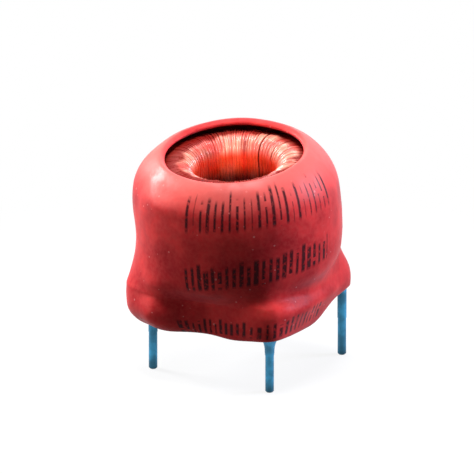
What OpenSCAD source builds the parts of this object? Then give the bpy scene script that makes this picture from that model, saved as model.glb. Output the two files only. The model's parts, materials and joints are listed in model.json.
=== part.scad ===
// Toroidal inductor: two windings on a ring core, seated on a four-pin header and held by a shrink sleeve.
// Millimetres, +Z up. The origin is the middle of the pin square, at the plane of the pin tips.

/* [Terminals] */
// Pin spacing along X
pin_pitch_x = 12.7; // [11.7:0.1:13]
// Pin spacing along Y
pin_pitch_y = 12.7; // [11.7:0.1:13]
// Diameter of the tail that goes into the board
tail_d = 0.8; // [0.6:0.02:0.8]
// Length of the tail that goes into the board
tail_l = 3.6; // [2.5:0.1:4]
// Diameter of the pin above the tail
shank_d = 0.86; // [0.82:0.02:0.9]
// Bare length of the pin between its tail and the header
shank_l = 3.4; // [3:0.1:3.8]
// Diameter of a solder cone where it meets the header
solder_d = 1.3; // [1.15:0.05:1.35]

/* [Header] */
// Distance from a pin to the edge of the header plate
header_edge = 1.15; // [1:0.05:1.4]
// Wall left between a pin's hole and the plate's rounded corner
corner_wall = 0.14; // [0.1:0.02:0.3]
// Thickness of the header plate
header_t = 1.2; // [1:0.05:1.6]
// Diameter of the round seat that carries the wound ring
seat_d = 12.4; // [11:0.1:12.8]
// Height of the seat above the plate
seat_h = 0.6; // [0.5:0.05:1]
// Width of the notch that a lead passes down
notch_w = 0.8; // [0.6:0.05:1]
// Depth of the notch in the plate's edge
notch_depth = 0.9; // [0.8:0.05:1.1]
// Distance from a pin to its notch, along the plate's edge
notch_offset = 2.6; // [2.2:0.1:3.2]

/* [Core] */
// Inside diameter of the ferrite ring
core_inner_d = 10; // [9.6:0.1:10.4]
// Radial width of the ferrite ring
core_w = 2.8; // [2.5:0.05:3.1]
// Height of the ferrite ring
core_h = 7.8; // [7.2:0.1:8]
// Rounding of the ring's edges
core_edge_r = 0.7; // [0.6:0.05:1]

/* [Windings] */
// Diameter of the enamelled wire
wire_d = 0.3; // [0.2:0.01:0.305]
// Turns in the top layer of each winding
turns = 36; // [20:1:36]
// Angle left free between the two windings
winding_gap = 10; // [8:1:24]
// Angle left free between the lower layers of the two windings
lower_gap = 4; // [3:1:8]
// Build of all layers inside the hole
build_inner = 1.2; // [1.1:0.05:1.4]
// Build of all layers on the outside of the ring
build_outer = 1.3; // [1.2:0.05:1.5]
// Build of all layers on the ring's flat faces
build_face = 1.5; // [1.4:0.05:1.7]
// Rounding of the wound ring at the top of the hole
hole_top_r = 1.8; // [1.6:0.1:1.8]
// Rounding of the wound ring at the bottom of the hole
hole_bottom_r = 1.8; // [1.6:0.1:2]
// Height of the shoulder where the wound ring's outside rounds into its top
shoulder_h = 4.2; // [3.4:0.1:4.6]
// Width of the flat on which the wound ring sits
underside_w = 1.3; // [1:0.1:1.6]
// Lean of the wound ring on its seat, in degrees
ring_lean = 7; // [0:0.5:7.5]
// Direction in which the ring leans, in degrees from +X
lean_azimuth = -86; // [-100:1:-70]
// How far the ring is set off along X from the middle of the header
ring_shift_x = -0.35; // [-0.5:0.05:0]
// How far the ring is set off along Y from the middle of the header
ring_shift_y = -1.15; // [-1.25:0.05:-0.8]

/* [Sleeve] */
// Wall of the shrink sleeve
sleeve_wall = 0.38; // [0.3:0.02:0.4]
// Diameter of the opening at the top of the sleeve
opening_d = 12.8; // [12.2:0.1:13.4]
// How far the sleeve stands off the top of the wound ring
lip_lift = 0.58; // [0.5:0.02:0.7]
// Width of the lip that rolls in and down to the opening
lip_w = 0.6; // [0.4:0.05:0.8]
// Drop of that lip
lip_drop = 0.3; // [0.1:0.02:0.34]
// Length of the skirt where it shrinks in below the header
skirt_l = 2.05; // [1.7:0.05:2.2]
// How far the skirt's rim lies outside the pins
rim_margin = 1.15; // [1.1:0.05:1.3]
// Bulge of the sleeve over the lead at one corner
lump = 1.2; // [0:0.1:1.4]

/* [Hidden] */
$fn = 64;

// Clearances between pieces that seat on or in each other
pin_fit = 0.02;
core_fit = 0.04;
layer_fit = 0.03;
seat_fit = 0.05;
sleeve_fit = 0.12;
header_fit = 0.1;
skirt_drop = 0.15;
solder_fit = 0.02;
rim_fit = 0.15;
cut_over = 1;

// Small forms of the pins and their solder
tip_chamfer = 0.12;
solder_toe = 0.06;
solder_lengths = [0.9, 2.2, 0.4, 1.1];
solder_waist_share = 0.4;

// The plate is tied to the pins: its sides by their edge distance, its corners by the wall left there
header_l = pin_pitch_x + 2 * header_edge;
header_w = pin_pitch_y + 2 * header_edge;
pin_hole_r = shank_d / 2 + pin_fit;
function corner_r(edge, reach) = (edge * sqrt(2) - reach) / (sqrt(2) - 1);
header_corner_r = corner_r(header_edge, pin_hole_r + corner_wall);

// Heights of the plate, and pin places anticlockwise from the -X -Y corner
header_z = tail_l + shank_l;
header_top = header_z + header_t;
pin_signs = [[-1, -1], [1, -1], [1, 1], [-1, 1]];
function pin_place(i) = [pin_signs[i][0] * pin_pitch_x / 2, pin_signs[i][1] * pin_pitch_y / 2];

// Envelope of the wound ring about its own centre, with the middles and radii of its four roundings
ring_in = core_inner_d / 2 - build_inner;
ring_out = core_inner_d / 2 + core_w + build_outer;
ring_half = core_h / 2 + build_face;
shoulder_w = ring_out - ring_in - hole_top_r;
foot_r = ring_out - ring_in - hole_bottom_r - underside_w;
shoulder = [ring_out - shoulder_w, ring_half - shoulder_h];
hole_top = [ring_in + hole_top_r, ring_half - hole_top_r];
hole_bottom = [ring_in + hole_bottom_r, hole_bottom_r - ring_half];
foot = [ring_out - foot_r, foot_r - ring_half];

// The leaning ring rests on the edge of the seat
ring_z = header_top + seat_h + seat_fit + ring_half * cos(ring_lean) + seat_d / 2 * sin(ring_lean);

// A point of an elliptical rounding, and a run of them from angle a to angle b in n steps
function rounding(c, rx, ry, a) = [c[0] + rx * cos(a), c[1] + ry * sin(a)];
function arc(c, rx, ry, a, b, n) = [for (i = [0:n]) rounding(c, rx, ry, a + (b - a) * i / n)];

// Section of the wound ring, taken in by an inset: over the shoulder, down the hole and back under
function section(inset) = concat(
    arc(shoulder, shoulder_w - inset, shoulder_h - inset, 0, 90, 3),
    arc(hole_top, hole_top_r - inset, hole_top_r - inset, 90, 180, 3),
    arc(hole_bottom, hole_bottom_r - inset, hole_bottom_r - inset, 180, 270, 2),
    arc(foot, foot_r - inset, foot_r - inset, 270, 360, 2));

// A vector of the ring's own frame, leaned by a share of the full lean
function radial(azimuth) = [cos(azimuth), sin(azimuth), 0];
function leaned(v, share) =
    let (a = ring_lean * share,
         toward = radial(lean_azimuth),
         along = v * toward)
    v + (along * (cos(a) - 1) + v[2] * sin(a)) * toward + [0, 0, v[2] * (cos(a) - 1) - along * sin(a)];

// A place on the ring, which follows the ring's lean and shift by a share
function on_ring(r, azimuth, z, share = 1) =
    let (shift = min(share, 1) * [ring_shift_x, ring_shift_y, 0])
    leaned(r * radial(azimuth) + [0, 0, z], share) + shift + [0, 0, ring_z];

// Distance from the axis to a rounded rectangle, in one direction
function rounded_reach(half_x, half_y, r, azimuth) =
    let (ux = abs(cos(azimuth)),
         uy = abs(sin(azimuth)),
         cx = half_x - r,
         cy = half_y - r,
         along = cx * ux + cy * uy,
         across = cx * uy - cy * ux)
    half_x * uy <= cy * ux ? half_x / ux :
    half_y * ux <= cx * uy ? half_y / uy :
    along + sqrt(r * r - across * across);

// Unit vector, and the part of a vector that is square to a unit vector
function unit(v) = v / norm(v);
function square_to(v, t) = unit(v - (v * t) * t);
function outward(p) = unit([p[0], p[1], 0]);
function reversed(list) = [for (i = [len(list) - 1:-1:0]) list[i]];

// A wire of square section swept along points, with one edge of the section towards each reference vector
module wire(points, references) {
    sides = 4;
    last = len(points) - 1;
    tangents = [for (i = [0:last]) unit(points[min(i + 1, last)] - points[max(i - 1, 0)])];
    rings = [for (i = [0:last])
        let (n = square_to(references[i], tangents[i]), b = cross(tangents[i], n))
        for (k = [0:sides - 1])
            points[i] + wire_d / 2 * (n * cos(360 * k / sides) + b * sin(360 * k / sides))];
    walls = [for (i = [0:last - 1], k = [0:sides - 1])
        let (a = i * sides + k, b = i * sides + (k + 1) % sides)
        for (f = [[b + sides, b, a], [a + sides, b + sides, a]]) f];
    ends = [[for (k = [0:sides - 1]) k], [for (k = [sides - 1:-1:0]) last * sides + k]];
    polyhedron(points = rings, faces = concat(walls, ends));
}

// A rectangle with rounded corners, from the origin
module rounded_square(x, y, r) {
    translate([r, 0]) square([x - 2 * r, y]);
    translate([0, r]) square([x, y - 2 * r]);
    for (cx = [r, x - r], cy = [r, y - r]) translate([cx, cy]) circle(r = r);
}

// Children in the ring's own frame, leaned and lifted to the seat
module on_seat() {
    translate([ring_shift_x, ring_shift_y, ring_z])
        rotate([0, 0, lean_azimuth]) rotate([0, ring_lean, 0]) rotate([0, 0, -lean_azimuth])
            children();
}

// Section of the core, grown by a clearance
module core_section(grow) {
    translate([core_inner_d / 2 - grow, -core_h / 2 - grow])
        rounded_square(core_w + 2 * grow, core_h + 2 * grow, core_edge_r + grow);
}

// The ferrite ring
module ferrite_core() {
    color("dimgray") on_seat() rotate_extrude() core_section(0);
}

// The lower layers of one winding, a sector of half the ring round the core
module lower_layers(start) {
    color("sienna")
        on_seat()
            rotate([0, 0, start + lower_gap / 2])
                rotate_extrude(angle = 180 - lower_gap)
                    difference() {
                        polygon(section(wire_d + layer_fit));
                        core_section(core_fit);
                    }
}

// The wire of one winding's top layer, with a lead at each end that runs to its own pin
module winding(start, first_pin, last_pin) {
    outline = section(wire_d / 2);
    steps = len(outline);
    foot_steps = 3;
    total = turns * steps;
    span = 180 - winding_gap;
    first_step = -foot_steps;
    last_step = total - foot_steps;
    function azimuth(q) = start + winding_gap / 2 + span * q / total;
    turn_points = [for (q = [first_step:last_step])
        let (p = outline[(q + steps) % steps]) on_ring(p[0], azimuth(q), p[1])];
    turn_references = [for (q = [first_step:last_step])
        let (i = (q + steps) % steps,
             t = unit(outline[(i + 1) % steps] - outline[(i + steps - 1) % steps]))
        leaned(t[1] * radial(azimuth(q)) + [0, 0, -t[0]], 1)];
    first_lead = reversed(lead(first_pin));
    last_lead = lead(last_pin);
    color("chocolate")
        wire(concat(first_lead, turn_points, last_lead),
             concat([for (p = first_lead) outward(p)], turn_references, [for (p = last_lead) outward(p)]));
}

// A lead from above the plate, down its notch and in to the solder on its pin
function lead(i) =
    let (pin = pin_place(i),
         s = pin_signs[i],
         groove = [pin[0] - s[0] * notch_offset,
                   s[1] * (header_w / 2 - notch_depth + wire_d / 2 + pin_fit)],
         inward = unit(groove - pin),
         stop = pin + ((solder_d + wire_d) / 2 + solder_fit) * inward,
         bend = groove - wire_d * inward,
         under = header_z - wire_d)
    [[groove[0], groove[1], header_top + wire_d],
     [groove[0], groove[1], header_z + wire_d / 2],
     [bend[0], bend[1], under],
     [stop[0], stop[1], under]];

// The moulded header: a rounded plate with a round seat, four pin holes and four lead notches
module header() {
    color("darkslategray")
        difference() {
            union() {
                translate([-header_l / 2, -header_w / 2, header_z])
                    linear_extrude(header_t) rounded_square(header_l, header_w, header_corner_r);
                translate([0, 0, header_z]) cylinder(d = seat_d, h = header_t + seat_h);
            }
            for (i = [0:3]) {
                translate([each pin_place(i), header_z - cut_over])
                    cylinder(r = pin_hole_r, h = header_t + 2 * cut_over);
                lead_notch(i);
            }
        }
}

// A round-ended notch in the plate's edge, beside one pin
module lead_notch(i) {
    s = pin_signs[i];
    x = pin_place(i)[0] - s[0] * notch_offset;
    y = s[1] * (header_w / 2 - notch_depth + notch_w / 2);
    deep = header_t + 2 * cut_over;
    translate([x, y, header_z - cut_over]) {
        cylinder(d = notch_w, h = deep);
        translate([-notch_w / 2, s[1] > 0 ? 0 : -notch_depth]) cube([notch_w, notch_depth, deep]);
    }
}

// A stepped pin: board tail with a chamfered tip, and a shank that ends flush with the header's top
module pin(i) {
    tail_r = tail_d / 2;
    shank_r = shank_d / 2;
    color("steelblue")
        translate([each pin_place(i), 0])
            rotate_extrude()
                polygon([[0, 0], [tail_r - tip_chamfer, 0], [tail_r, tip_chamfer], [tail_r, tail_l],
                         [shank_r, tail_l], [shank_r, header_top], [0, header_top]]);
}

// The hollow-sided solder cone that holds a lead to its pin under the header
module solder(i) {
    bore = shank_d / 2;
    l = solder_lengths[i];
    waist = bore + (solder_d / 2 - bore) * solder_waist_share;
    color("lightsteelblue")
        translate([each pin_place(i), header_z - l])
            rotate_extrude()
                polygon([[bore, 0], [bore + solder_toe, 0], [waist, l / 2], [solder_d / 2, l], [bore, l]]);
}

// Outer surface of the sleeve: stations from the opening down to the rim, at each azimuth
sleeve_sides = 48;
corner_crowding = 6.4;
shoulder_steps = 5;
lip_shares = [0, 0.35, 0.7];
lip_lean_share = 1.2;
cover = sleeve_fit + sleeve_wall;
barrel = 0.04;
tuck_angles = [0, -25, -50];
ridge = 0.3;
skirt_bulge = 0.1;

// Shares of the header's flare and of the lump that the stations below the ring take
flare_shares = [0.1, 0.3, 0.6, 0.88];
lump_shares = [0.15, 0.5, 0.85, 0.95, 0.95, 0.95, 1, 0.95];
lump_azimuth = 222;
lump_spread = 24;

// Shares of the ring's lean and shift that those stations follow
follow_shares = [1, 1, 0.9, 0.45, 0.1];

// How closely the sleeve draws in to the header below the ring, on the Y sides and on the X sides
draw_in_shares = [0.35, 0.85];
overhang_shares = [0.6, 0.35, 0.15];
waist_height_share = 0.45;
corner_rise_share = 0.33;
skirt_share = 0.5;
rim_corner_r = corner_r(rim_margin, shank_d / 2 + rim_fit + sleeve_wall);

// Depth of the skirt's rim below the header as shares of its length, every 22.5 degrees from +X
rim_shares = [0.95, 0.32, 0.15, 0.3, 0.5, 0.6, 0.8, 0.8, 0.8, 0.9, 1.1, 1.05, 0.88, 1, 0.86, 0.95];

// Azimuth of one side of the sleeve, crowded towards the corners of the header
function sleeve_azimuth(k) = 360 * k / sleeve_sides + corner_crowding * sin(4 * 360 * k / sleeve_sides);
function smooth(t) = t * t * (3 - 2 * t);
function mix(a, b, t) = a + (b - a) * t;
function rim_share(azimuth) =
    let (n = len(rim_shares), t = azimuth / 360 * n, i = floor(t))
    mix(rim_shares[i % n], rim_shares[(i + 1) % n], smooth(t - i));
function lump_at(azimuth) = lump * exp(-pow((azimuth - lump_azimuth) / lump_spread, 2));

// Stations on the ring, as radius, height about the ring's centre and share of its lean
function ring_stations() =
    let (rx = shoulder_w + cover,
         ry = shoulder_h + cover + lip_lift,
         opening = opening_d / 2,
         start = acos((opening + lip_w - shoulder[0]) / rx),
         crest = rounding(shoulder, rx, ry, start))
    concat(
        [for (t = lip_shares)
            [crest[0] - lip_w * (1 - t), crest[1] - lip_drop * pow(1 - t, 2), lip_lean_share]],
        [for (i = [0:shoulder_steps])
            let (t = i / shoulder_steps, p = rounding(shoulder, rx, ry, start * (1 - t)))
            [p[0], p[1], mix(lip_lean_share, 1, t)]],
        [[ring_out + cover + barrel, (shoulder[1] + foot[1]) / 2, 1]]);

// Stations below the ring, at one azimuth
function header_stations(azimuth) =
    let (head = rounded_reach(header_l / 2, header_w / 2, header_corner_r, azimuth)
                + header_fit + sleeve_wall,
         rim = rounded_reach(pin_pitch_x / 2 + rim_margin, pin_pitch_y / 2 + rim_margin,
                             rim_corner_r, azimuth),
         bump = lump_at(azimuth),
         tuck = [for (a = tuck_angles) rounding(foot, foot_r + cover, foot_r + cover, a)],
         last = tuck[2],
         x_side = pow(cos(azimuth), 2),
         draw_in = head > last[0] ? flare_shares[3] : mix(draw_in_shares[0], draw_in_shares[1], x_side),
         overhang = max(0, last[0] - head) * (1 - draw_in),
         base = header_top - ring_z,
         turn_in = base - header_t - skirt_drop,
         rim_z = -skirt_l * rim_share(azimuth),
         plain = concat(
             [for (i = [0:len(tuck) - 1])
                 [tuck[i][0] + max(0, head - tuck[i][0]) * flare_shares[i], tuck[i][1]]],
             [[mix(last[0], head, draw_in), mix(base, last[1], waist_height_share)],
              [head + overhang * overhang_shares[0], base + cover * corner_rise_share],
              [head + overhang * overhang_shares[1] + ridge * pow(x_side, 2), base - header_t / 2],
              [head + overhang * overhang_shares[2], turn_in],
              [mix(head, rim, skirt_share) + skirt_bulge, turn_in + rim_z * skirt_share]]))
    concat(
        [for (i = [0:len(plain) - 1])
            [plain[i][0] + bump * lump_shares[i], plain[i][1],
             i < len(follow_shares) ? follow_shares[i] : 0]],
        [[rim, turn_in + rim_z, 0]]);

// The same stations taken in by the wall, square to the surface
function inner_stations(outer) =
    let (last = len(outer) - 1)
    [for (i = [0:last])
        let (a = outer[max(i - 1, 0)],
             b = outer[min(i + 1, last)],
             t = unit([b[0] - a[0], b[1] - a[1]]))
        [outer[i][0] + sleeve_wall * t[1], outer[i][1] - sleeve_wall * t[0], outer[i][2]]];

// The shrink sleeve, open at the top and round the pins
module shrink_sleeve() {
    loops = [for (k = [0:sleeve_sides - 1])
        let (azimuth = sleeve_azimuth(k),
             outer = concat(ring_stations(), header_stations(azimuth)))
        [for (s = concat(outer, reversed(inner_stations(outer)))) on_ring(s[0], azimuth, s[1], s[2])]];
    n = len(loops[0]);
    points = [for (loop = loops) each loop];
    faces = [for (k = [0:sleeve_sides - 1], i = [0:n - 1])
        let (next = (k + 1) % sleeve_sides,
             up = (i + 1) % n,
             a = k * n + i,
             b = next * n + i,
             c = next * n + up,
             d = k * n + up)
        for (f = [[a, b, c], [a, c, d]]) f];
    color("crimson") polyhedron(points = points, faces = faces);
}

ferrite_core();
lower_layers(-90);  // lower_layers_a
lower_layers(90);  // lower_layers_b
winding(-90, 1, 2);  // winding_a
winding(90, 3, 0);  // winding_b
header();
pin(0);  // pin_1
pin(1);  // pin_2
pin(2);  // pin_3
pin(3);  // pin_4
solder(0);  // solder_1
solder(1);  // solder_2
solder(2);  // solder_3
solder(3);  // solder_4
shrink_sleeve();
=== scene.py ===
"""Looks of a toroidal inductor: copper strands on a ring, a red shrink sleeve and tinned pins.

Metres, +Z up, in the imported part's own frame. Azimuths, elevations, spreads and other angles of the
constants are in degrees, noise scales are per metre, and lamps are in watts.
"""

import json
import math
import random

import bmesh
import bpy
import numpy as np
from mathutils import Matrix, Vector, noise


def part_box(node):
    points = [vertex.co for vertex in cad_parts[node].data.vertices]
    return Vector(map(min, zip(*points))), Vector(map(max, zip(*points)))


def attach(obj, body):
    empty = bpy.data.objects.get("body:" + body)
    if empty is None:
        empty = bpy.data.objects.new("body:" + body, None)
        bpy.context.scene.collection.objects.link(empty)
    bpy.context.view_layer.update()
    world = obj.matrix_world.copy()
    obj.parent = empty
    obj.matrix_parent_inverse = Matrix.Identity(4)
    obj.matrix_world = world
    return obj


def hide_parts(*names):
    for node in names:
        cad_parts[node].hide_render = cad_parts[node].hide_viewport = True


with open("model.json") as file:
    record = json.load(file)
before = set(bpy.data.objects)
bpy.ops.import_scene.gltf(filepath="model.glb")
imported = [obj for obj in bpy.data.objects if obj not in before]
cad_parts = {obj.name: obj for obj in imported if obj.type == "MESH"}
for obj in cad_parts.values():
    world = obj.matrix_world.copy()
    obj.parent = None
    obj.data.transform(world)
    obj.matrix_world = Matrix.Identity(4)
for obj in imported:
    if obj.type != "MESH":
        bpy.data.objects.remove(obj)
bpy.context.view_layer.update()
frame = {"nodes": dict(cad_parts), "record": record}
nodes = frame["nodes"]

MM = 0.001

# The corners of a square, in the order of the pins
CORNER_SIGNS = [(-1, -1), (1, -1), (1, 1), (-1, 1)]

# The wound ring: its centre is the core's, and the rest is the section of its top layer
core_low, core_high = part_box("ferrite_core")
RING_CENTRE = (core_low + core_high) / 2
RING_LEAN = 7
LEAN_AZIMUTH = -86
HOLE_R = 3.8 * MM
RING_R = 9.1 * MM
RING_HALF = 5.4 * MM
HOLE_ROUNDING = 1.8 * MM
HOLE_VISIBLE = 4.5 * MM
HOLE_WALL_STEPS = 6
SHOULDER_W = RING_R - HOLE_R - HOLE_ROUNDING
SHOULDER_H = 4.2 * MM
UNDERSIDE_W = 1.3 * MM
FOOT_R = SHOULDER_W - UNDERSIDE_W

# The enamelled wire of the two windings, which leave off a few points of the section at their ends
WIRE_D = 0.25 * MM
WIRE_SIDES = 8
TURNS = 78
WINDING_GAP = 2
WINDING_ENDS = 2
WIRE_SEED = 41
SUNK_SHARE = 0.5
LOOSE_LIFT = 0.12 * MM
LOOSE_PER_TURN = 0.45
LOOSE_ROW = 7.5
STRAND_SWAY = 0.11 * MM
SWAY_PER_TURN = 0.91
SWAY_PER_MM = 0.22

# The strands' tones: partly by chance, partly in clumps, each with a step per turn and a row of noise
TONE_BASE = 0.45
TONE_CHANCE = 0.4
TONE_CLUMP = 0.8
CLUMPS = ((0.37, 0.5), (0.13, 2.5))

# The painted shade on the strands under the sleeve's lip, and the sides on which it reaches further in
LIP_SHADE_R = 5.5 * MM
LIP_SHADE_W = 0.6 * MM
LIP_SHADE_UNEVEN = 0.6 * MM
LIP_SHADE_RATE = 5
LIP_SHADE_ROW = 0.5
LIP_SHADE_NARROW = 3
LIP_SHADE_SIDES = ((192, 0.75 * MM), (-58, 1.9 * MM), (132, 0.55 * MM))

# The header and its pins
header_low, header_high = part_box("header")
HEADER_T = 1.2 * MM
NOTCH_OFFSET = 2.6 * MM
NOTCH_DEPTH = 0.9 * MM
PIN_PITCH = frame["record"]["mounts"][0]["dims"]["spacing_x_mm"] * MM
TIP_DARK = 1.4 * MM

# The solder round the pins, and the flare of the front one
SOLDER_D = 1.3 * MM
SOLDER_BORE = 0.42 * MM
SOLDER_TOE = 0.03 * MM
SOLDER_FULL = 0.15 * MM
SOLDER_CREEP = 1.0 * MM
SOLDER_HOLLOW = 2.5
SOLDER_STEPS = 12
SOLDER_SIDES = 32
SOLDER_SHARP = 50

# The sleeve: its lip drawn in on the far side, where it is thicker, its top painted paler as painted light,
# less so on the lip's far side, and one glossy spot
SLEEVE_R = 9.6 * MM
SLEEVE_AXIS = Vector((RING_CENTRE.x, RING_CENTRE.y, 0))
SLEEVE_LEVELS = 2
WELD_DISTANCE = 0.001 * MM
QUAD_TOPOLOGY = 1.5
TOP_LIGHT_LOW_Z = 11 * MM
TOP_LIGHT_HIGH_Z = 16 * MM
LIP_R = 6.5 * MM
LIP_W = 0.9 * MM
LIP_SHIFT = 0.4 * MM
LIP_TOWARD = -58
FAR_LIP_DIMMING = 0.8
GLOSS_AZIMUTH = -112
GLOSS_Z = 18.9 * MM
GLOSS_REACH = 3.2 * MM

# The film's dents and shrink ripples: length, height and a shift of the noise
RIPPLES = (
    (3.4 * MM, 0.09 * MM, Vector((7, 0, 0))),
    (1.3 * MM, 0.025 * MM, Vector((0, 7, 0))),
)

# The film's folds, bulge and ridges, which stand out: azimuth, spread, height, half height, out
FOLDS = [
    (-20, 32, 7.6 * MM, 1.1 * MM, 0.3 * MM),
    (-113, 14, 6.6 * MM, 2.7 * MM, 1.8 * MM),
    (-92, 11, 6.2 * MM, 2.4 * MM, 0.45 * MM),
    (-108, 12, 17.6 * MM, 0.9 * MM, 0.2 * MM),
    (-70, 30, 17.6 * MM, 1.1 * MM, 0.12 * MM),
]

# Where the film is pushed off its plain form: azimuth, height, reach, out, up
PUSHES = [
    (45, 7.5 * MM, 5.0 * MM, -0.4 * MM, 0.35 * MM),
    (222, 7.5 * MM, 5.0 * MM, 0.24 * MM, 0.0),
    (212, 18.5 * MM, 4.5 * MM, 0.24 * MM, 0.0),
    (212, 12.2 * MM, 2.5 * MM, -0.18 * MM, 0.0),
    (-58, 20.5 * MM, 4.5 * MM, -0.25 * MM, -0.08 * MM),
    (205, 21.0 * MM, 4.5 * MM, -0.6 * MM, 0.4 * MM),
    (208, 19.4 * MM, 3.0 * MM, 0.35 * MM, 0.0),
    (122, 21.5 * MM, 7.0 * MM, 0.0, 0.18 * MM),
    (-118, 5.0 * MM, 3.0 * MM, 0.0, -0.2 * MM),
    (-76, 4.4 * MM, 4.2 * MM, 0.0, -0.75 * MM),
    (-44, 6.2 * MM, 2.0 * MM, 0.25 * MM, 0.0),
]
PUSH_FALL = 2

# The film's colours, and how strongly each one shows: the paler top is painted light, and the dark blotches
# are painted shade
FILM_DARK = (0.48, 0.016, 0.021)
FILM_LIGHT = (0.76, 0.041, 0.04)
FILM_SHADE_BLOTCH = (0.3, 0.007, 0.012)
FILM_GRAIN = (0.7, 0.09, 0.075)
FILM_SPECK = (0.85, 0.36, 0.34)
FILM_PAINTED_TOP = (0.78, 0.14, 0.12)
FILM_INK = (0.018, 0.005, 0.008)
SHADE_BLOTCH_SHARE = 0.36
GRAIN_SHARE = 0.25
SPECK_SHARE = 0.4
PAINTED_TOP_SHARE = 0.75
GLOSS_COAT = 0.11
TOP_COAT = 0.12

# The specks in the film: their cells, the share of cells without one, their size and edge in cells
SPECK_SCALE = 1500.0
SPECK_NONE = 0.45
SPECK_R = 0.18
SPECK_EDGE = 30.0

# The rows of ink bars, in millimetres on the wrap map
INK_ROWS = [
    dict(Start=-5.3, End=10.9, Base=15.9, Rise=0.093, Height=4.0, Pitch=0.7, Seed=3.0, Bold=0.13),
    dict(Start=-5.6, End=10.0, Base=10.3, Rise=0.15, Height=3.1, Pitch=0.7, Seed=40.0, Bold=0.27),
    dict(Start=-7.4, End=11.0, Base=5.2, Rise=0.06, Height=1.9, Pitch=0.7, Seed=77.0, Bold=0.2),
]

# One ink bar, in shares of its cell: the low ends and spans of its width, its reach and its gap
BAR_WIDTH_SPAN = 0.2
BAR_REACH_LOW = 0.7
BAR_REACH_SPAN = 0.3
BAR_GAP_LOW = -0.6
BAR_GAP_SPAN = 2.0
BAR_GAP_HALF = 0.06
BAR_SIDE_SLOPE = 6.0
BAR_END_SLOPE = 9.0

# The colours of the strands: on the crest, whose light end is a pale painted highlight, down the hole's
# wall and at its bottom, where a dark red is painted shade, with a pale painted sheen in patches and
# painted shade under the lip
CREST_DARK = (0.3, 0.022, 0.016)
CREST_HIGHLIGHT = (1.0, 0.36, 0.25)
CREST_PATCH = (0.7, 0.06, 0.05)
WALL_DARK = (0.92, 0.04, 0.012)
WALL_LIGHT = (1.0, 0.1, 0.03)
HOLE_BOTTOM_SHADE = (0.1, 0.003, 0.003)
COPPER_SHEEN_PATCH = (0.98, 0.36, 0.26)
COPPER_LIP_SHADE = (0.22, 0.007, 0.005)
PATCH_SHARE = 0.75
SHEEN_PATCH_SHARE = 0.15
LIP_SHADE_SHARE = 0.96

# The colours of the buried layers, and the painted shade in the grooves between their ribs round the ring
BURIED_DARK = (0.45, 0.04, 0.025)
BURIED_LIGHT = (0.7, 0.1, 0.06)
BURIED_GROOVE_SHADE = (0.25, 0.02, 0.015)
BURIED_RIBS = 150.0

# The colours of the pins
TIN_DARK = (0.03, 0.14, 0.23)
TIN_LIGHT = (0.045, 0.27, 0.46)
TIN_TIP = (0.012, 0.035, 0.05)
TIP_SHARE = 0.75

# The photograph's camera: a long lens, turned and raised, aimed beside the middle of the pin tips
VIEW_AZIMUTH = 32
VIEW_ELEVATION = 18.5
VIEW_DISTANCE = 1.5
FACING_AZIMUTH = VIEW_AZIMUTH - 90
PICTURE_WIDTH = 43.94 * MM
AIM_RIGHT = -0.983 * MM
AIM_UP = 11.495 * MM
SENSOR_MM = 36

# The floor just under the pin tips, which fades to white from the part outward, and the even light
FLOOR_HALF = 2.0
FLOOR_DROP = 0.01 * MM
FLOOR_SEEN = (0.85, 0.85, 0.85)
FLOOR_BOUNCE = (0.07, 0.07, 0.07)
FADE_NEAR = 12 * MM
FADE_FAR = 50 * MM
FADE_LEAST = 0.88
EVEN_LIGHT = 0.035

# The lamps: square soft ones round the ring, and a narrow one into its hole
LAMP_DISTANCE = 0.3
LAMPS = {
    "lamp_above": dict(azimuth=170, elevation=74, size=0.1, power=0.3),
    "lamp_front": dict(azimuth=-58, elevation=84, size=0.1, power=1.05),
    "lamp_left": dict(azimuth=178, elevation=28, size=0.1, power=1.25),
    "lamp_fill": dict(azimuth=212, elevation=4, size=0.1, power=0.36),
    "lamp_right": dict(azimuth=40, elevation=20, size=0.12, power=1.0, colour=(0.96, 1.02, 1.35)),
}
HOLE_LAMP_AZIMUTH = -58
HOLE_LAMP_ELEVATION = 30
HOLE_LAMP_CONE = 1.2
HOLE_LAMP_SIZE = 2 * MM
HOLE_LAMP_POWER = 3.4
HOLE_LAMP_DEPTH = 1.2 * MM


def toward(azimuth, elevation=0):
    """A unit vector toward an azimuth and elevation."""
    turn = math.radians(azimuth)
    rise = math.radians(elevation)
    return Vector((math.cos(turn) * math.cos(rise), math.sin(turn) * math.cos(rise), math.sin(rise)))


def ring_matrix():
    """From the ring's own frame to its leaning place on the header."""
    turn = Matrix.Rotation(math.radians(LEAN_AZIMUTH), 4, "Z")
    lean = Matrix.Rotation(math.radians(RING_LEAN), 4, "Y")
    return Matrix.Translation(RING_CENTRE) @ turn @ lean @ turn.inverted()


RING_SEAT = ring_matrix()
RING_UNSEAT = RING_SEAT.inverted()


def clamped(value):
    """A number held between 0 and 1."""
    return min(1.0, max(0.0, value))


def place_object(name, data):
    """A new object in the scene for a mesh, light or camera."""
    piece = bpy.data.objects.new(name, data)
    bpy.context.scene.collection.objects.link(piece)
    return piece


def set_finish(mesh, material):
    """One finish for the whole of a mesh."""
    mesh.materials.clear()
    mesh.materials.append(material)


def point_values(mesh, label, values):
    """A number for each point of a mesh, for its material to read."""
    entries = mesh.attributes.new(label, "FLOAT", "POINT")
    entries.data.foreach_set("value", np.array(values, np.float32))


def add_node(tree, kind, settings=None, **inputs):
    """A shader node with its settings, and its inputs by name with _ for a space."""
    made = tree.nodes.new(kind)
    for name, value in (settings or {}).items():
        setattr(made, name, value)
    for name, value in inputs.items():
        made.inputs[name.replace("_", " ")].default_value = value
    return made


def feed(tree, socket, value):
    """A value into an input: a link from a socket, an RGB tuple or a number."""
    if isinstance(value, tuple):
        socket.default_value = (*value, 1)
    elif isinstance(value, (int, float)):
        socket.default_value = value
    else:
        tree.links.new(value, socket)


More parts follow.
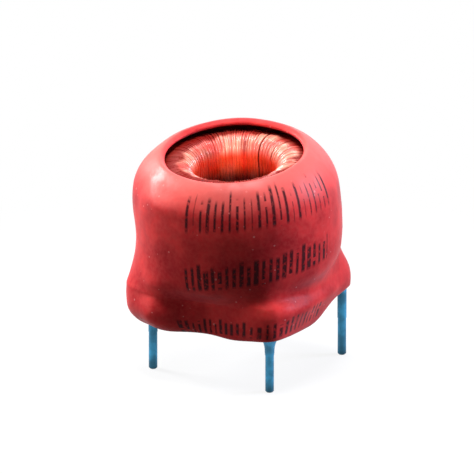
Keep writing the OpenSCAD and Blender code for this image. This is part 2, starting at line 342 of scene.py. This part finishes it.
def math_node(tree, operation, *values, clamp=False):
    """A Math node on its values, each a socket or a number, and its result."""
    made = add_node(tree, "ShaderNodeMath", {"operation": operation, "use_clamp": clamp})
    for socket, value in zip(made.inputs, values):
        feed(tree, socket, value)
    return made.outputs[0]


def ramp_node(tree, value, low, high, to_low=0.0, to_high=1.0):
    """A smooth step from low to high of a value."""
    made = add_node(tree, "ShaderNodeMapRange", {"interpolation_type": "SMOOTHSTEP"},
                    From_Min=low, From_Max=high, To_Min=to_low, To_Max=to_high)
    tree.links.new(value, made.inputs["Value"])
    return made.outputs["Result"]


def mix_colour(tree, share, first, second):
    """A colour between two, each a socket or an RGB tuple, by a share."""
    made = add_node(tree, "ShaderNodeMix", {"data_type": "RGBA"})
    # The node's sockets for colours come after those for numbers and vectors
    for index, value in ((0, share), (6, first), (7, second)):
        feed(tree, made.inputs[index], value)
    return made.outputs[2]


def tint(tree, colour, mask, share, other):
    """A colour turned to another one where a mask is, up to a share."""
    return mix_colour(tree, math_node(tree, "MULTIPLY", mask, share), colour, other)


def point_value(tree, label):
    """The number of a mesh's points under a label."""
    return add_node(tree, "ShaderNodeAttribute", {"attribute_name": label}).outputs["Fac"]


def own_place(tree):
    """A place in the object's own space."""
    return add_node(tree, "ShaderNodeTexCoord").outputs["Object"]


def split_place(tree, place):
    """The X, Y and Z of a place."""
    parts = add_node(tree, "ShaderNodeSeparateXYZ")
    tree.links.new(place, parts.inputs[0])
    return parts.outputs


def grain(tree, scale, detail):
    """Noise in the object's own space."""
    made = add_node(tree, "ShaderNodeTexNoise", Detail=detail)
    tree.links.new(own_place(tree), made.inputs["Vector"])
    feed(tree, made.inputs["Scale"], scale)
    return made.outputs["Fac"]


def new_group(name, inputs, outputs):
    """An empty shader group with number sockets, and its input and output nodes."""
    group = bpy.data.node_groups.new(name, "ShaderNodeTree")
    for label, value in inputs.items():
        socket = group.interface.new_socket(label, in_out="INPUT", socket_type="NodeSocketFloat")
        socket.default_value = value
    for label in outputs:
        group.interface.new_socket(label, in_out="OUTPUT", socket_type="NodeSocketFloat")
    return group, group.nodes.new("NodeGroupInput"), group.nodes.new("NodeGroupOutput")


def use_group(tree, group, **inputs):
    """A group placed in a material with its own values, and its outputs."""
    made = tree.nodes.new("ShaderNodeGroup")
    made.node_tree = group
    for name, value in inputs.items():
        made.inputs[name].default_value = value
    return made.outputs


def mottle_group():
    """Broad and fine blotches in object space, as two masks."""
    group, given, out = new_group("mottle", {"Broad": 300.0, "Fine": 2000.0}, ["Broad", "Fine"])
    for label, detail in (("Broad", 2.0), ("Fine", 4.0)):
        blotch = grain(group, given.outputs[label], detail)
        group.links.new(ramp_node(group, blotch, low=0.3, high=0.7), out.inputs[label])
    return group


def ink_row_group():
    """One row of plain worn ink bars round the sleeve, as a mask."""
    group, node, out = new_group(
        "ink_row",
        dict(Start=0.0, End=1.0, Base=0.0, Rise=0.0, Height=1.0, Pitch=1.0, Seed=0.0, Bold=0.14),
        ["Mask"])
    given = node.outputs
    wrap = add_node(group, "ShaderNodeUVMap", {"uv_map": "wrap"})
    place = split_place(group, wrap.outputs["UV"])
    along = place["X"]
    cells = math_node(group, "DIVIDE", math_node(group, "SUBTRACT", along, given["Start"]), given["Pitch"])
    base = math_node(group, "MULTIPLY_ADD", along, given["Rise"], given["Base"])
    level = math_node(group, "DIVIDE", math_node(group, "SUBTRACT", place["Y"], base), given["Height"])

    chance = add_node(group, "ShaderNodeTexWhiteNoise", {"noise_dimensions": "1D"})
    number = math_node(group, "FLOOR", cells)
    group.links.new(math_node(group, "ADD", number, given["Seed"]), chance.inputs["W"])
    draw = add_node(group, "ShaderNodeSeparateColor")
    group.links.new(chance.outputs["Color"], draw.inputs[0])
    half_width = math_node(group, "MULTIPLY_ADD", draw.outputs["Red"], BAR_WIDTH_SPAN, given["Bold"])
    reach = math_node(group, "MULTIPLY_ADD", draw.outputs["Green"], BAR_REACH_SPAN, BAR_REACH_LOW)
    gap = math_node(group, "MULTIPLY_ADD", draw.outputs["Blue"], BAR_GAP_SPAN, BAR_GAP_LOW)

    across = math_node(group, "SUBTRACT", math_node(group, "FRACT", cells), 0.5)
    inside = math_node(group, "SUBTRACT", half_width, math_node(group, "ABSOLUTE", across))
    below_top = math_node(group, "SUBTRACT", reach, level)
    off_gap = math_node(group, "ABSOLUTE", math_node(group, "SUBTRACT", level, gap))
    mask = math_node(group, "MULTIPLY", inside, BAR_SIDE_SLOPE, clamp=True)
    limits = (
        math_node(group, "MULTIPLY", level, BAR_END_SLOPE, clamp=True),
        math_node(group, "MULTIPLY", below_top, BAR_END_SLOPE, clamp=True),
        math_node(group, "GREATER_THAN", along, given["Start"]),
        math_node(group, "LESS_THAN", along, given["End"]),
        math_node(group, "GREATER_THAN", off_gap, BAR_GAP_HALF),
    )
    for limit in limits:
        mask = math_node(group, "MULTIPLY", mask, limit)
    group.links.new(mask, out.inputs["Mask"])
    return group


MOTTLE = mottle_group()
INK_ROW = ink_row_group()


def new_material(name, **inputs):
    """A node material with one Principled shader, its plain inputs set on the shader."""
    material = bpy.data.materials.new(name)
    material.use_nodes = True
    tree = material.node_tree
    shader = tree.nodes["Principled BSDF"]
    for label, value in inputs.items():
        shader.inputs[label.replace("_", " ")].default_value = value
    return material, tree, shader


def add_bump(tree, shader, height, strength, distance):
    """A bump on the shader from a height."""
    bump = add_node(tree, "ShaderNodeBump", Strength=strength, Distance=distance)
    tree.links.new(height, bump.inputs["Height"])
    tree.links.new(bump.outputs["Normal"], shader.inputs["Normal"])


def add_roughness(tree, shader, mask, least, span):
    """A roughness on the shader that rises with a mask from its least by a span."""
    tree.links.new(math_node(tree, "MULTIPLY_ADD", mask, span, least), shader.inputs["Roughness"])


def film_specks(tree):
    """A few specks of many sizes, as a mask."""
    cells = add_node(tree, "ShaderNodeTexVoronoi", {"feature": "F1"}, Scale=SPECK_SCALE)
    tree.links.new(own_place(tree), cells.inputs["Vector"])
    draw = add_node(tree, "ShaderNodeSeparateColor")
    tree.links.new(cells.outputs["Color"], draw.inputs[0])
    share = ramp_node(tree, draw.outputs["Red"], low=SPECK_NONE, high=1.0)
    size = math_node(tree, "MULTIPLY", share, SPECK_R)
    inside = math_node(tree, "SUBTRACT", size, cells.outputs["Distance"])
    return math_node(tree, "MULTIPLY", inside, SPECK_EDGE, clamp=True)


def worn_ink(tree):
    """All rows of ink bars, worn in patches, as a mask."""
    ink = 0.0
    for row in INK_ROWS:
        ink = math_node(tree, "ADD", use_group(tree, INK_ROW, **row)["Mask"], ink, clamp=True)
    wear = grain(tree, scale=2600.0, detail=3.0)
    left = ramp_node(tree, wear, low=0.32, high=0.5, to_low=0.35, to_high=0.92)
    return math_node(tree, "MULTIPLY", ink, left)


def red_shrink_film():
    """Heat-shrunk red film: blotched, with dark blotches of painted shade, specked, painted paler on its
    upward top as painted light, with rows of worn ink bars.
    """
    material, tree, shader = new_material(
        "red_shrink_film", Specular_IOR_Level=0.05, Coat_Roughness=0.32,
        Sheen_Weight=0.08, Sheen_Roughness=0.4, Sheen_Tint=(0.7, 0.8, 1, 1))
    mottle = use_group(tree, MOTTLE, Broad=260.0, Fine=2600.0)
    shade_blotches = use_group(tree, MOTTLE, Broad=800.0)["Broad"]
    top_light = point_value(tree, "painted_top_light")
    paler_top = ramp_node(tree, top_light, low=0.1, high=0.8)
    film = mix_colour(tree, mottle["Broad"], FILM_DARK, FILM_LIGHT)
    # Painted shade of dents, as random broad dark blotches
    film = tint(tree, film, shade_blotches, SHADE_BLOTCH_SHARE, FILM_SHADE_BLOTCH)
    film = tint(tree, film, mottle["Fine"], GRAIN_SHARE, FILM_GRAIN)
    film = tint(tree, film, film_specks(tree), SPECK_SHARE, FILM_SPECK)
    # Painted light: the upward-facing top made paler, less so on the lip's far side
    film = tint(tree, film, paler_top, PAINTED_TOP_SHARE, FILM_PAINTED_TOP)
    film = mix_colour(tree, worn_ink(tree), film, FILM_INK)
    tree.links.new(film, shader.inputs["Base Color"])

    shoulder = ramp_node(tree, top_light, low=0.1, high=0.75, to_high=TOP_COAT)
    coat = math_node(tree, "MULTIPLY_ADD", point_value(tree, "film_gloss"), GLOSS_COAT, shoulder)
    streaks = ramp_node(tree, shade_blotches, low=0.0, high=1.0, to_low=0.3, to_high=1.6)
    tree.links.new(math_node(tree, "MULTIPLY", coat, streaks), shader.inputs["Coat Weight"])
    add_roughness(tree, shader, mottle["Fine"], least=0.36, span=0.12)
    add_bump(tree, shader, grain(tree, scale=1300.0, detail=3.0), strength=0.5, distance=0.05 * MM)
    return material


def enamelled_copper():
    """Enamelled copper wire: each strand with its own tone, a pale painted highlight on the crest, a pale
    painted sheen in patches, and painted shade down the hole and under the sleeve's lip.
    """
    material, tree, shader = new_material(
        "enamelled_copper", Metallic=0.08, Specular_IOR_Level=0.1, Coat_Roughness=0.2)
    tone = point_value(tree, "strand_tone")
    depth = point_value(tree, "hole_depth")
    lip_shade = point_value(tree, "lip_shade")
    mottle = use_group(tree, MOTTLE, Broad=700.0, Fine=5000.0)
    patches = ramp_node(tree, use_group(tree, MOTTLE, Broad=480.0)["Broad"], low=0.45, high=0.85)
    # On the crest the light end of the tones is a pale painted highlight
    crest = mix_colour(tree, tone, CREST_DARK, CREST_HIGHLIGHT)
    crest = tint(tree, crest, patches, PATCH_SHARE, CREST_PATCH)
    wall = mix_colour(tree, tone, WALL_DARK, WALL_LIGHT)
    copper = mix_colour(tree, ramp_node(tree, depth, low=0.2, high=0.4), crest, wall)
    # Painted shade darkening the strands towards the bottom of the hole
    copper = mix_colour(tree, ramp_node(tree, depth, low=0.5, high=0.9), copper, HOLE_BOTTOM_SHADE)
    # A pale painted sheen in broad random patches
    copper = tint(tree, copper, mottle["Broad"], SHEEN_PATCH_SHARE, COPPER_SHEEN_PATCH)
    # Painted shade under the sleeve's lip, reaching further in on some sides
    copper = tint(tree, copper, ramp_node(tree, lip_shade, low=0.0, high=1.0), LIP_SHADE_SHARE, COPPER_LIP_SHADE)
    tree.links.new(copper, shader.inputs["Base Color"])

    # Less coat where the shade under the lip is painted
    unshaded_coat = ramp_node(tree, lip_shade, low=0.0, high=1.0, to_low=0.6, to_high=0.0)
    open_top = ramp_node(tree, depth, low=0.3, high=0.7, to_low=1.0, to_high=0.1)
    tree.links.new(math_node(tree, "MULTIPLY", unshaded_coat, open_top), shader.inputs["Coat Weight"])
    add_roughness(tree, shader, mottle["Fine"], least=0.25, span=0.15)
    return material


def buried_copper():
    """The layers under the top one: darker copper with the strands' ribs as bump, and painted shade in the
    grooves between the ribs.
    """
    material, tree, shader = new_material("buried_copper", Metallic=0.6)
    ring = add_node(tree, "ShaderNodeMapping", {"vector_type": "TEXTURE"}, Location=RING_CENTRE)
    tree.links.new(own_place(tree), ring.inputs["Vector"])
    place = split_place(tree, ring.outputs[0])
    azimuth = math_node(tree, "ARCTAN2", place["Y"], place["X"])
    ribs = math_node(tree, "SINE", math_node(tree, "MULTIPLY", azimuth, BURIED_RIBS))
    mottle = use_group(tree, MOTTLE, Broad=800.0, Fine=4000.0)
    copper = mix_colour(tree, mottle["Broad"], BURIED_DARK, BURIED_LIGHT)
    # Painted shade in the grooves between the ribs
    copper = mix_colour(tree, ramp_node(tree, ribs, low=-1.0, high=0.2), BURIED_GROOVE_SHADE, copper)
    tree.links.new(copper, shader.inputs["Base Color"])
    add_roughness(tree, shader, mottle["Fine"], least=0.35, span=0.2)
    add_bump(tree, shader, ribs, strength=0.8, distance=0.08 * MM)
    return material


def mottled_finish(name, dark, light, rough, broad, fine, bump, **inputs):
    """A finish of two blotched colours with its own grain, for the pieces inside and under the sleeve."""
    material, tree, shader = new_material(name, **inputs)
    mottle = use_group(tree, MOTTLE, Broad=broad, Fine=fine)
    tree.links.new(mix_colour(tree, mottle["Broad"], dark, light), shader.inputs["Base Color"])
    add_roughness(tree, shader, mottle["Fine"], least=rough, span=0.15)
    add_bump(tree, shader, mottle["Fine"], strength=0.4, distance=bump)
    return material


def tinned_pin():
    """Blue-grey tinned wire, darker at the cut tip."""
    material, tree, shader = new_material("tinned_pin", Metallic=0.8)
    mottle = use_group(tree, MOTTLE, Broad=900.0, Fine=5000.0)
    height = split_place(tree, own_place(tree))["Z"]
    tip = ramp_node(tree, height, low=0.0, high=TIP_DARK, to_low=TIP_SHARE, to_high=0.0)
    tin = mix_colour(tree, mottle["Broad"], TIN_DARK, TIN_LIGHT)
    tree.links.new(mix_colour(tree, tip, tin, TIN_TIP), shader.inputs["Base Color"])
    add_roughness(tree, shader, mottle["Fine"], least=0.38, span=0.15)
    add_bump(tree, shader, mottle["Fine"], strength=0.4, distance=0.01 * MM)
    return material


def arc(centre, half_r, half_z, start, end, steps):
    """Points of an elliptical arc in the ring's section, from one angle to another in degrees."""
    angles = np.radians(np.linspace(start, end, steps + 1))
    return [(centre[0] + half_r * math.cos(a), centre[1] + half_z * math.sin(a)) for a in angles]


def wound_section(inset):
    """The section of the wound ring, taken in by an inset: shoulder, hole and underside."""
    shoulder = (RING_R - SHOULDER_W, RING_HALF - SHOULDER_H)
    hole_top = (HOLE_R + HOLE_ROUNDING, RING_HALF - HOLE_ROUNDING)
    hole_bottom = (HOLE_R + HOLE_ROUNDING, HOLE_ROUNDING - RING_HALF)
    foot = (RING_R - FOOT_R, FOOT_R - RING_HALF)
    hole_r = HOLE_ROUNDING - inset
    foot_r = FOOT_R - inset
    heights = np.linspace(hole_top[1], hole_bottom[1], HOLE_WALL_STEPS + 1)
    hole_wall = [(HOLE_R + inset, z) for z in heights[1:-1]]
    return (arc(shoulder, SHOULDER_W - inset, SHOULDER_H - inset, start=0, end=90, steps=10)
            + arc(hole_top, hole_r, hole_r, start=95, end=180, steps=9)
            + hole_wall
            + arc(hole_bottom, hole_r, hole_r, start=180, end=270, steps=5)
            + arc(foot, foot_r, foot_r, start=270, end=355, steps=5))


def lead_points(pin):
    """A lead from above the plate, down its notch and in to its pin."""
    sign_x, sign_y = CORNER_SIGNS[pin]
    head = Vector((sign_x * PIN_PITCH / 2, sign_y * PIN_PITCH / 2, 0))
    notch_y = header_high.y - NOTCH_DEPTH + WIRE_D / 2
    groove = Vector((head.x - sign_x * NOTCH_OFFSET, sign_y * notch_y, 0))
    inward = (groove - head).normalized()
    stop = head + inward * SOLDER_D / 2
    bend = groove - inward * WIRE_D
    above = header_low.z + HEADER_T + WIRE_D
    inside = header_low.z + WIRE_D / 2
    below = header_low.z - WIRE_D
    places = ((groove, above), (groove, inside), (bend, below), (stop, below))
    return [Vector((p.x, p.y, z)) for p, z in places]


def strand_tone(turn, start, draw):
    """The tone of one turn of a winding, from 0 to 1."""
    clump = sum(noise.noise(Vector((turn * step, start, row))) for step, row in CLUMPS)
    return clamped(TONE_CHANCE * draw.random() + TONE_CLUMP * clump + TONE_BASE)


def winding_path(start, first_pin, last_pin, draw):
    """The centreline of one winding with its two leads, and a tone for each point."""
    outline = wound_section(WIRE_D / 2)
    steps = len(outline)
    count = TURNS * steps
    gap = math.radians(WINDING_GAP)
    points, tones = [], []
    for index in range(WINDING_ENDS, count - WINDING_ENDS):
        turn, step = divmod(index, steps)
        if step == 0 or not tones:
            tone = strand_tone(turn, start, draw)
        r, z = outline[step]
        sway = noise.noise(Vector((turn * SWAY_PER_TURN, (r + z) / MM * SWAY_PER_MM, start)))
        azimuth = start + gap / 2 + (math.pi - gap) * index / count + sway * STRAND_SWAY / r
        sunk = (turn % 2) * SUNK_SHARE * WIRE_D * max(0.0, 1 - (r - HOLE_R) / HOLE_ROUNDING)
        loose = noise.noise(Vector((turn * LOOSE_PER_TURN, start, LOOSE_ROW)))
        lift = LOOSE_LIFT * loose * max(0.0, z / RING_HALF)
        away = r + sunk
        points.append(RING_SEAT @ Vector((away * math.cos(azimuth), away * math.sin(azimuth), z + lift)))
        tones.append(tone)
    first_lead = lead_points(first_pin)[::-1]
    last_lead = lead_points(last_pin)
    return (first_lead + points + last_lead,
            [tones[0]] * len(first_lead) + tones + [tones[-1]] * len(last_lead))


def strand_masks(path):
    """For each point of a wire, its depth down the hole and how far the painted shade under the lip covers
    it.
    """
    ring = np.array(RING_UNSEAT)
    spots = path @ ring[:3, :3].T + ring[:3, 3]
    away = np.hypot(spots[:, 0], spots[:, 1])
    down = np.clip((RING_HALF - spots[:, 2]) / HOLE_VISIBLE, 0, 1)
    depths = np.where(away < HOLE_R + HOLE_ROUNDING, down, 0)
    around = np.arctan2(spots[:, 1], spots[:, 0])
    uneven = [noise.noise(Vector((LIP_SHADE_RATE * a, LIP_SHADE_ROW, LIP_SHADE_ROW))) for a in around]
    inward = LIP_SHADE_UNEVEN * np.array(uneven)
    for azimuth, reach in LIP_SHADE_SIDES:
        inward += reach * np.clip(np.cos(around - math.radians(azimuth)), 0, 1) ** LIP_SHADE_NARROW
    return depths, np.clip((away - LIP_SHADE_R + inward) / LIP_SHADE_W, 0, 1)


def wire_mesh(name, points, tones):
    """A round wire swept along points, with its tone, depth and varnish as point attributes."""
    path = np.array([tuple(p) for p in points])
    tangents = np.gradient(path, axis=0)
    tangents /= np.linalg.norm(tangents, axis=1)[:, None]
    side = np.cross(tangents[0], (0, 0, 1))
    turns = np.arange(WIRE_SIDES) * math.tau / WIRE_SIDES
    rings = []
    for place, tangent in zip(path, tangents):
        side = side - tangent * (side @ tangent)
        side /= np.linalg.norm(side)
        other = np.cross(tangent, side)
        ring = np.outer(np.cos(turns), side) + np.outer(np.sin(turns), other)
        rings.append(place + WIRE_D / 2 * ring)
    grid = np.arange(len(path) * WIRE_SIDES).reshape(len(path), WIRE_SIDES)
    after = np.roll(grid, -1, axis=1)
    quads = np.stack([grid[:-1], after[:-1], after[1:], grid[1:]], axis=2).reshape(-1, 4)
    ends = [grid[0][::-1].tolist(), grid[-1].tolist()]
    mesh = bpy.data.meshes.new(name)
    mesh.from_pydata(np.concatenate(rings).tolist(), [], quads.tolist() + ends)
    mesh.shade_smooth()
    depths, lip_shade = strand_masks(path)
    for label, values in (("strand_tone", tones), ("hole_depth", depths), ("lip_shade", lip_shade)):
        point_values(mesh, label, np.repeat(values, WIRE_SIDES))
    return mesh


def wind_ring(material):
    """Both windings as fine wires in place of the plain ones."""
    draw = random.Random(WIRE_SEED)
    for label, start, first_pin, last_pin in (("a", -math.pi / 2, 1, 2), ("b", math.pi / 2, 3, 0)):
        name = f"strands_{label}"
        mesh = wire_mesh(name, *winding_path(start, first_pin, last_pin, draw))
        set_finish(mesh, material)
        strands = place_object(name, mesh)
        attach(strands, "root")
        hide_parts(f"winding_{label}")


def sleeve_cage():
    """The sleeve's solid as a mesh of quads."""
    cage = bmesh.new()
    cage.from_mesh(nodes["shrink_sleeve"].data)
    bmesh.ops.remove_doubles(cage, verts=cage.verts, dist=WELD_DISTANCE)
    bmesh.ops.join_triangles(cage, faces=cage.faces, angle_face_threshold=math.pi,
                             angle_shape_threshold=math.pi, topology_influence=QUAD_TOPOLOGY)
    mesh = bpy.data.meshes.new("sleeve_cage")
    cage.to_mesh(mesh)
    cage.free()
    return mesh


def smoothed(mesh, levels):
    """A subdivided copy of a mesh."""
    holder = place_object("holder", mesh)
    modifier = holder.modifiers.new("smooth", "SUBSURF")
    modifier.levels = levels
    modifier.render_levels = levels
    evaluated = holder.evaluated_get(bpy.context.evaluated_depsgraph_get())
    result = bpy.data.meshes.new_from_object(evaluated)
    bpy.data.objects.remove(holder)
    return result


def ripple(place):
    """How far the film stands in or out at a place, from its dents and shrink ripples."""
    return sum(height * noise.noise(place / length + shift) for length, height, shift in RIPPLES)


def folded(place):
    """How far the film's folds, bulge and ridges stand out at a place."""
    spot = place - SLEEVE_AXIS
    turn = math.degrees(math.atan2(spot.y, spot.x))
    stand = 0.0
    for azimuth, spread, height, half, out in FOLDS:
        stand += out * math.exp(-((turn - azimuth) / spread) ** 2 - ((spot.z - height) / half) ** 2)
    return stand


def sleeve_spot(azimuth, height):
    """A spot on the plain sleeve's girth."""
    return SLEEVE_AXIS + SLEEVE_R * toward(azimuth) + Vector((0, 0, height))


def pushed(place, outward):
    """How far the pushes move a place of the film."""
    move = Vector()
    for azimuth, height, reach, out, up in PUSHES:
        span = (place - sleeve_spot(azimuth, height)).length / reach
        move += (outward * out + Vector((0, 0, up))) * math.exp(-PUSH_FALL * span ** 2)
    return move


def lip_share(place):
    """How far a place belongs to the lip's far side, from 0 to 1."""
    spot = RING_UNSEAT @ place
    if spot.z <= 0:
        return 0.0
    share = (LIP_R + LIP_W - math.hypot(spot.x, spot.y)) / LIP_W
    far = 0.5 - 0.5 * math.cos(math.atan2(spot.y, spot.x) - math.radians(LIP_TOWARD))
    return far * clamped(share)


def film_move(place):
    """The way from a place of the plain sleeve to its place in the shrunk film."""
    outward = place - SLEEVE_AXIS
    outward.z = 0
    outward.normalize()
    stand = outward * (ripple(place) + folded(place))
    drawn = LIP_SHIFT * lip_share(place) * toward(LIP_TOWARD)
    return stand + pushed(place, outward) + drawn


def painted_top_light(vertex):
    """How far the top is painted paler as painted light at a vertex, from 0 to 1: on upward faces high up,
    and less on the lip's thick far side.
    """
    height = (vertex.co.z - TOP_LIGHT_LOW_Z) / (TOP_LIGHT_HIGH_Z - TOP_LIGHT_LOW_Z)
    top_light_kept = 1 - FAR_LIP_DIMMING * lip_share(vertex.co)
    return top_light_kept * max(0.0, vertex.normal.z) * clamped(height)


def half_turned(angle):
    """An angle brought to within half a turn of zero."""
    return (angle + math.pi) % math.tau - math.pi


def add_wrap_map(mesh):
    """A map of the sleeve in millimetres, round from the facing side and up."""
    wrap = mesh.uv_layers.new(name="wrap")
    facing = math.radians(FACING_AZIMUTH)
    for face in mesh.polygons:
        middle = face.center - SLEEVE_AXIS
        face_turn = half_turned(math.atan2(middle.y, middle.x) - facing)
        for loop in face.loop_indices:
            place = mesh.vertices[mesh.loops[loop].vertex_index].co - SLEEVE_AXIS
            turn = face_turn + half_turned(math.atan2(place.y, place.x) - facing - face_turn)
            wrap.data[loop].uv = (turn * SLEEVE_R / MM, place.z / MM)


def wrap_sleeve(material):
    """The shrunk film in place of the plain sleeve, with its wrap map, painted top light and gloss."""
    mesh = smoothed(sleeve_cage(), SLEEVE_LEVELS)
    mesh.name = "red_sleeve"
    for vertex in mesh.vertices:
        vertex.co += film_move(vertex.co)
    shiny = sleeve_spot(GLOSS_AZIMUTH, GLOSS_Z)
    gloss = [math.exp(-((vertex.co - shiny).length / GLOSS_REACH) ** 2) for vertex in mesh.vertices]
    point_values(mesh, "painted_top_light", [painted_top_light(vertex) for vertex in mesh.vertices])
    point_values(mesh, "film_gloss", gloss)
    add_wrap_map(mesh)
    mesh.shade_smooth()
    set_finish(mesh, material)
    sleeve = place_object("red_sleeve", mesh)
    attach(sleeve, "root")
    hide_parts("shrink_sleeve")


def front_solder(material):
    """The front pin's solder, crept further down the pin than its plain cone, with a hollow flare."""
    low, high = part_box("solder_2")
    middle = (low + high) / 2
    toe = SOLDER_BORE + SOLDER_TOE
    foot = low.z - SOLDER_CREEP
    rise = SOLDER_CREEP + SOLDER_FULL
    flare = [(toe + (SOLDER_D / 2 - toe) * share ** SOLDER_HOLLOW, foot + rise * share)
             for share in np.linspace(0, 1, SOLDER_STEPS + 1)]
    outline = [(SOLDER_BORE, foot), *flare, (SOLDER_D / 2, high.z), (SOLDER_BORE, high.z)]
    turns = np.arange(SOLDER_SIDES) * math.tau / SOLDER_SIDES
    points = [(middle.x + r * math.cos(turn), middle.y + r * math.sin(turn), z)
              for r, z in outline for turn in turns]
    grid = np.arange(len(points)).reshape(len(outline), SOLDER_SIDES)
    after = np.roll(grid, -1, axis=1)
    quads = np.stack([grid, after, np.roll(after, -1, axis=0), np.roll(grid, -1, axis=0)], axis=2)
    mesh = bpy.data.meshes.new("front_solder")
    mesh.from_pydata(points, [], quads.reshape(-1, 4).tolist())
    mesh.shade_smooth()
    mesh.set_sharp_from_angle(angle=math.radians(SOLDER_SHARP))
    set_finish(mesh, material)
    solder = place_object("front_solder", mesh)
    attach(solder, "root")
    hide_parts("solder_2")


def finish_nodes(finishes):
    """The plain pieces keep their solids and get their finish."""
    for name, material in finishes.items():
        set_finish(nodes[name].data, material)


def rays(tree, *kinds):
    """1 for rays of the named kinds, and 0 for all others."""
    path = add_node(tree, "ShaderNodeLightPath")
    found = 0.0
    for kind in kinds:
        found = math_node(tree, "ADD", path.outputs[kind], found, clamp=True)
    return found


def mix_to_output(tree, out, share, first, second):
    """Two shaders, mixed by a share, as the surface of an output."""
    mix = add_node(tree, "ShaderNodeMixShader")
    tree.links.new(share, mix.inputs[0])
    tree.links.new(first.outputs[0], mix.inputs[1])
    tree.links.new(second.outputs[0], mix.inputs[2])
    tree.links.new(mix.outputs[0], out.inputs["Surface"])


def pale_floor():
    """A floor finish that fades to white for the eye, keeps the shadow and throws little light back."""
    material = bpy.data.materials.new("pale_floor")
    material.use_nodes = True
    tree = material.node_tree
    tree.nodes.clear()
    seen = rays(tree, "Is Camera Ray", "Is Glossy Ray")
    matt = add_node(tree, "ShaderNodeBsdfDiffuse")
    tree.links.new(mix_colour(tree, seen, FLOOR_BOUNCE, FLOOR_SEEN), matt.inputs["Color"])
    white = add_node(tree, "ShaderNodeEmission", Color=(1, 1, 1, 1), Strength=1.0)
    span = add_node(tree, "ShaderNodeVectorMath", {"operation": "LENGTH"})
    tree.links.new(own_place(tree), span.inputs[0])
    fade = ramp_node(tree, span.outputs["Value"], low=FADE_NEAR, high=FADE_FAR, to_low=FADE_LEAST)
    out = add_node(tree, "ShaderNodeOutputMaterial")
    mix_to_output(tree, out, math_node(tree, "MULTIPLY", seen, fade), matt, white)
    return material


def white_floor():
    """The floor under the part, which isn't a piece of it."""
    corners = [(x * FLOOR_HALF, y * FLOOR_HALF, 0) for x, y in CORNER_SIGNS]
    mesh = bpy.data.meshes.new("floor")
    mesh.from_pydata(corners, [], [(0, 1, 2, 3)])
    mesh.materials.append(pale_floor())
    floor = place_object("floor", mesh)
    floor.location.z = -FLOOR_DROP


def white_world():
    """White behind the part, and a low even light from all round."""
    world = bpy.data.worlds.new("studio")
    world.use_nodes = True
    tree = world.node_tree
    tree.nodes.clear()
    seen = rays(tree, "Is Camera Ray", "Is Glossy Ray", "Is Transmission Ray")
    low = add_node(tree, "ShaderNodeBackground", Color=(1, 1, 1, 1), Strength=EVEN_LIGHT)
    white = add_node(tree, "ShaderNodeBackground", Color=(1, 1, 1, 1), Strength=1.0)
    out = add_node(tree, "ShaderNodeOutputWorld")
    mix_to_output(tree, out, seen, low, white)
    bpy.context.scene.world = world


def aim(holder, target, away, distance):
    """A lamp or camera put at a distance from a target and turned to it."""
    holder.location = target + away * distance
    holder.rotation_euler = away.to_track_quat("Z", "Y").to_euler()


def soft_lamp(name, azimuth, elevation, size, power, colour=(1, 1, 1)):
    """A square soft lamp aimed at the middle of the ring."""
    lamp = bpy.data.lights.new(name, "AREA")
    lamp.shape = "SQUARE"
    lamp.size = size
    lamp.energy = power
    lamp.color = colour
    aim(place_object(name, lamp), RING_CENTRE, toward(azimuth, elevation), LAMP_DISTANCE)


def hole_lamp():
    """A narrow lamp aimed at the far wall of the ring's hole."""
    lamp = bpy.data.lights.new("lamp_hole", "SPOT")
    lamp.spot_size = math.radians(HOLE_LAMP_CONE)
    lamp.spot_blend = 1.0
    lamp.shadow_soft_size = HOLE_LAMP_SIZE
    lamp.energy = HOLE_LAMP_POWER
    wall = RING_CENTRE - HOLE_R * toward(HOLE_LAMP_AZIMUTH)
    wall.z += RING_HALF - HOLE_LAMP_DEPTH
    away = toward(HOLE_LAMP_AZIMUTH, HOLE_LAMP_ELEVATION)
    aim(place_object("lamp_hole", lamp), wall, away, LAMP_DISTANCE)


def photo_camera():
    """The camera at the photograph's angle, with its long lens."""
    right = toward(VIEW_AZIMUTH)
    away = toward(FACING_AZIMUTH, VIEW_ELEVATION)
    up = away.cross(right)
    lens = bpy.data.cameras.new("photo_camera")
    lens.sensor_width = SENSOR_MM
    lens.lens = SENSOR_MM * VIEW_DISTANCE / PICTURE_WIDTH
    holder = place_object("photo_camera", lens)
    aim(holder, right * AIM_RIGHT + up * AIM_UP, away, VIEW_DISTANCE)
    bpy.context.scene.camera = holder


wind_ring(enamelled_copper())
wrap_sleeve(red_shrink_film())

ferrite = mottled_finish(
    "ferrite", dark=(0.025, 0.025, 0.028), light=(0.06, 0.06, 0.064),
    rough=0.55, broad=900.0, fine=5000.0, bump=0.03 * MM)
moulding = mottled_finish(
    "black_moulding", dark=(0.02, 0.02, 0.022), light=(0.045, 0.045, 0.05),
    rough=0.5, broad=500.0, fine=4000.0, bump=0.02 * MM)
tin = tinned_pin()
solder = mottled_finish(
    "solder", dark=(0.034, 0.14, 0.23), light=(0.055, 0.26, 0.44),
    rough=0.4, broad=900.0, fine=4000.0, bump=0.02 * MM, Metallic=0.8)
buried = buried_copper()
finishes = {"ferrite_core": ferrite, "header": moulding, "lower_layers_a": buried, "lower_layers_b": buried}
finishes.update({f"pin_{i}": tin for i in range(1, 5)})
finishes.update({f"solder_{i}": solder for i in (1, 3, 4)})
finish_nodes(finishes)
front_solder(solder)

white_floor()
white_world()
for lamp_name, settings in LAMPS.items():
    soft_lamp(lamp_name, **settings)
hole_lamp()
photo_camera()
bpy.context.scene.view_settings.view_transform = "Standard"
